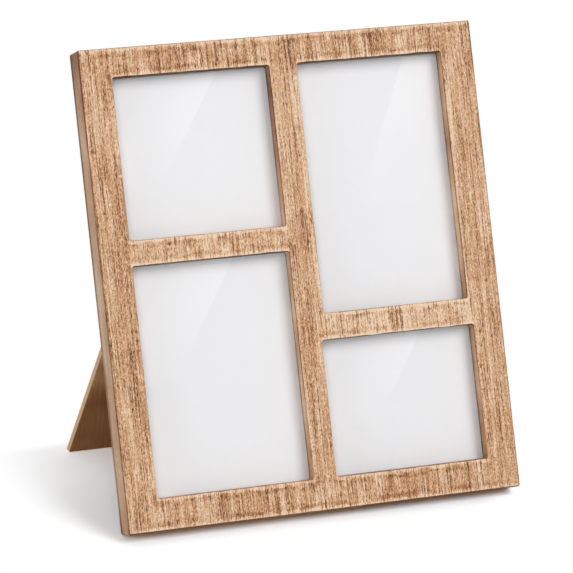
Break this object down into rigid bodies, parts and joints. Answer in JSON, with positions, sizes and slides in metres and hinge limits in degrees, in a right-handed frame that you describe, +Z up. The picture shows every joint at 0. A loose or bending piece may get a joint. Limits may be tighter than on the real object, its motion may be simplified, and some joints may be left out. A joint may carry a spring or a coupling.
{
  "type": "collage photo frame",
  "caption": "Free-standing collage photo frame: a routed wood-grain board with glazed windows of mixed sizes, a back panel held by turn buttons, and a folding easel leg.",
  "frame": {"origin": "centre of the standing object's outline, on the surface that it stands on", "axes": "+Z up, +Y from the leaning face towards the leg, +X to the right as seen from the front"},
  "size_m": [0.2416, 0.1584, 0.2689],
  "materials": {
    "printed_board": "whitewashed wood-grain print on board, matt",
    "pane_glass": "clear float glass",
    "print_card": "blank satin print",
    "filler_board": "brown corrugated filler",
    "hardboard": "dark brown hardboard, matt",
    "leg_board": "dark brown board with a paler cut edge",
    "zinc_steel": "zinc-plated sheet steel",
    "rivet_steel": "zinc-plated rivet steel"
  },
  "bodies": {
    "frame": {"frame_body": "printed_board", "glass_upper_left": "pane_glass", "glass_lower_left": "pane_glass", "glass_upper_right": "pane_glass", "glass_lower_right": "pane_glass", "card_upper_left": "print_card", "card_lower_left": "print_card", "card_upper_right": "print_card", "card_lower_right": "print_card", "pad_upper_left": "filler_board", "pad_lower_left": "filler_board", "pad_upper_right": "filler_board", "pad_lower_right": "filler_board", "back_panel": "hardboard", "turn_button_screws": "zinc_steel", "hinge_bracket_left": "zinc_steel", "hinge_bracket_right": "zinc_steel", "hinge_pin_left": "rivet_steel", "hinge_pin_right": "rivet_steel", "bracket_rivets": "rivet_steel"},
    "leg": {"easel_leg": "leg_board", "hinge_leg_plate_left": "zinc_steel", "hinge_leg_plate_right": "zinc_steel", "leg_rivets": "rivet_steel"},
    "turn_button_1": {"turn_button_1": "zinc_steel"},
    "turn_button_2": {"turn_button_2": "zinc_steel"},
    "turn_button_3": {"turn_button_3": "zinc_steel"},
    "turn_button_4": {"turn_button_4": "zinc_steel"},
    "turn_button_5": {"turn_button_5": "zinc_steel"},
    "turn_button_6": {"turn_button_6": "zinc_steel"},
    "turn_button_7": {"turn_button_7": "zinc_steel"},
    "turn_button_8": {"turn_button_8": "zinc_steel"}
  },
  "joints": [
    {"name": "leg_swing", "type": "hinge", "parent": "frame", "child": "leg", "pos_m": [0, 0.01946, 0.20675], "axis": [1, 0, 0], "range_deg": [-35.9, 0]},
    {"name": "turn_button_1_turn", "type": "hinge", "parent": "frame", "child": "turn_button_1", "pos_m": [-0.11325, -0.03854, 0.06614], "axis": [0, 0.9373, -0.3486], "range_deg": [-90, 90]},
    {"name": "turn_button_2_turn", "type": "hinge", "parent": "frame", "child": "turn_button_2", "pos_m": [0.11325, -0.03854, 0.06614], "axis": [0, 0.9373, -0.3486], "range_deg": [-90, 90]},
    {"name": "turn_button_3_turn", "type": "hinge", "parent": "frame", "child": "turn_button_3", "pos_m": [-0.11325, 0.00817, 0.19174], "axis": [0, 0.9373, -0.3486], "range_deg": [-90, 90]},
    {"name": "turn_button_4_turn", "type": "hinge", "parent": "frame", "child": "turn_button_4", "pos_m": [0.11325, 0.00817, 0.19174], "axis": [0, 0.9373, -0.3486], "range_deg": [-90, 90]},
    {"name": "turn_button_5_turn", "type": "hinge", "parent": "frame", "child": "turn_button_5", "pos_m": [-0.06075, -0.06033, 0.00756], "axis": [0, 0.9373, -0.3486], "range_deg": [-90, 90]},
    {"name": "turn_button_6_turn", "type": "hinge", "parent": "frame", "child": "turn_button_6", "pos_m": [-0.06075, 0.03204, 0.25594], "axis": [0, 0.9373, -0.3486], "range_deg": [-90, 90]},
    {"name": "turn_button_7_turn", "type": "hinge", "parent": "frame", "child": "turn_button_7", "pos_m": [0.06075, -0.06033, 0.00756], "axis": [0, 0.9373, -0.3486], "range_deg": [-90, 90]},
    {"name": "turn_button_8_turn", "type": "hinge", "parent": "frame", "child": "turn_button_8", "pos_m": [0.06075, 0.03204, 0.25594], "axis": [0, 0.9373, -0.3486], "range_deg": [-90, 90]}
  ]
}
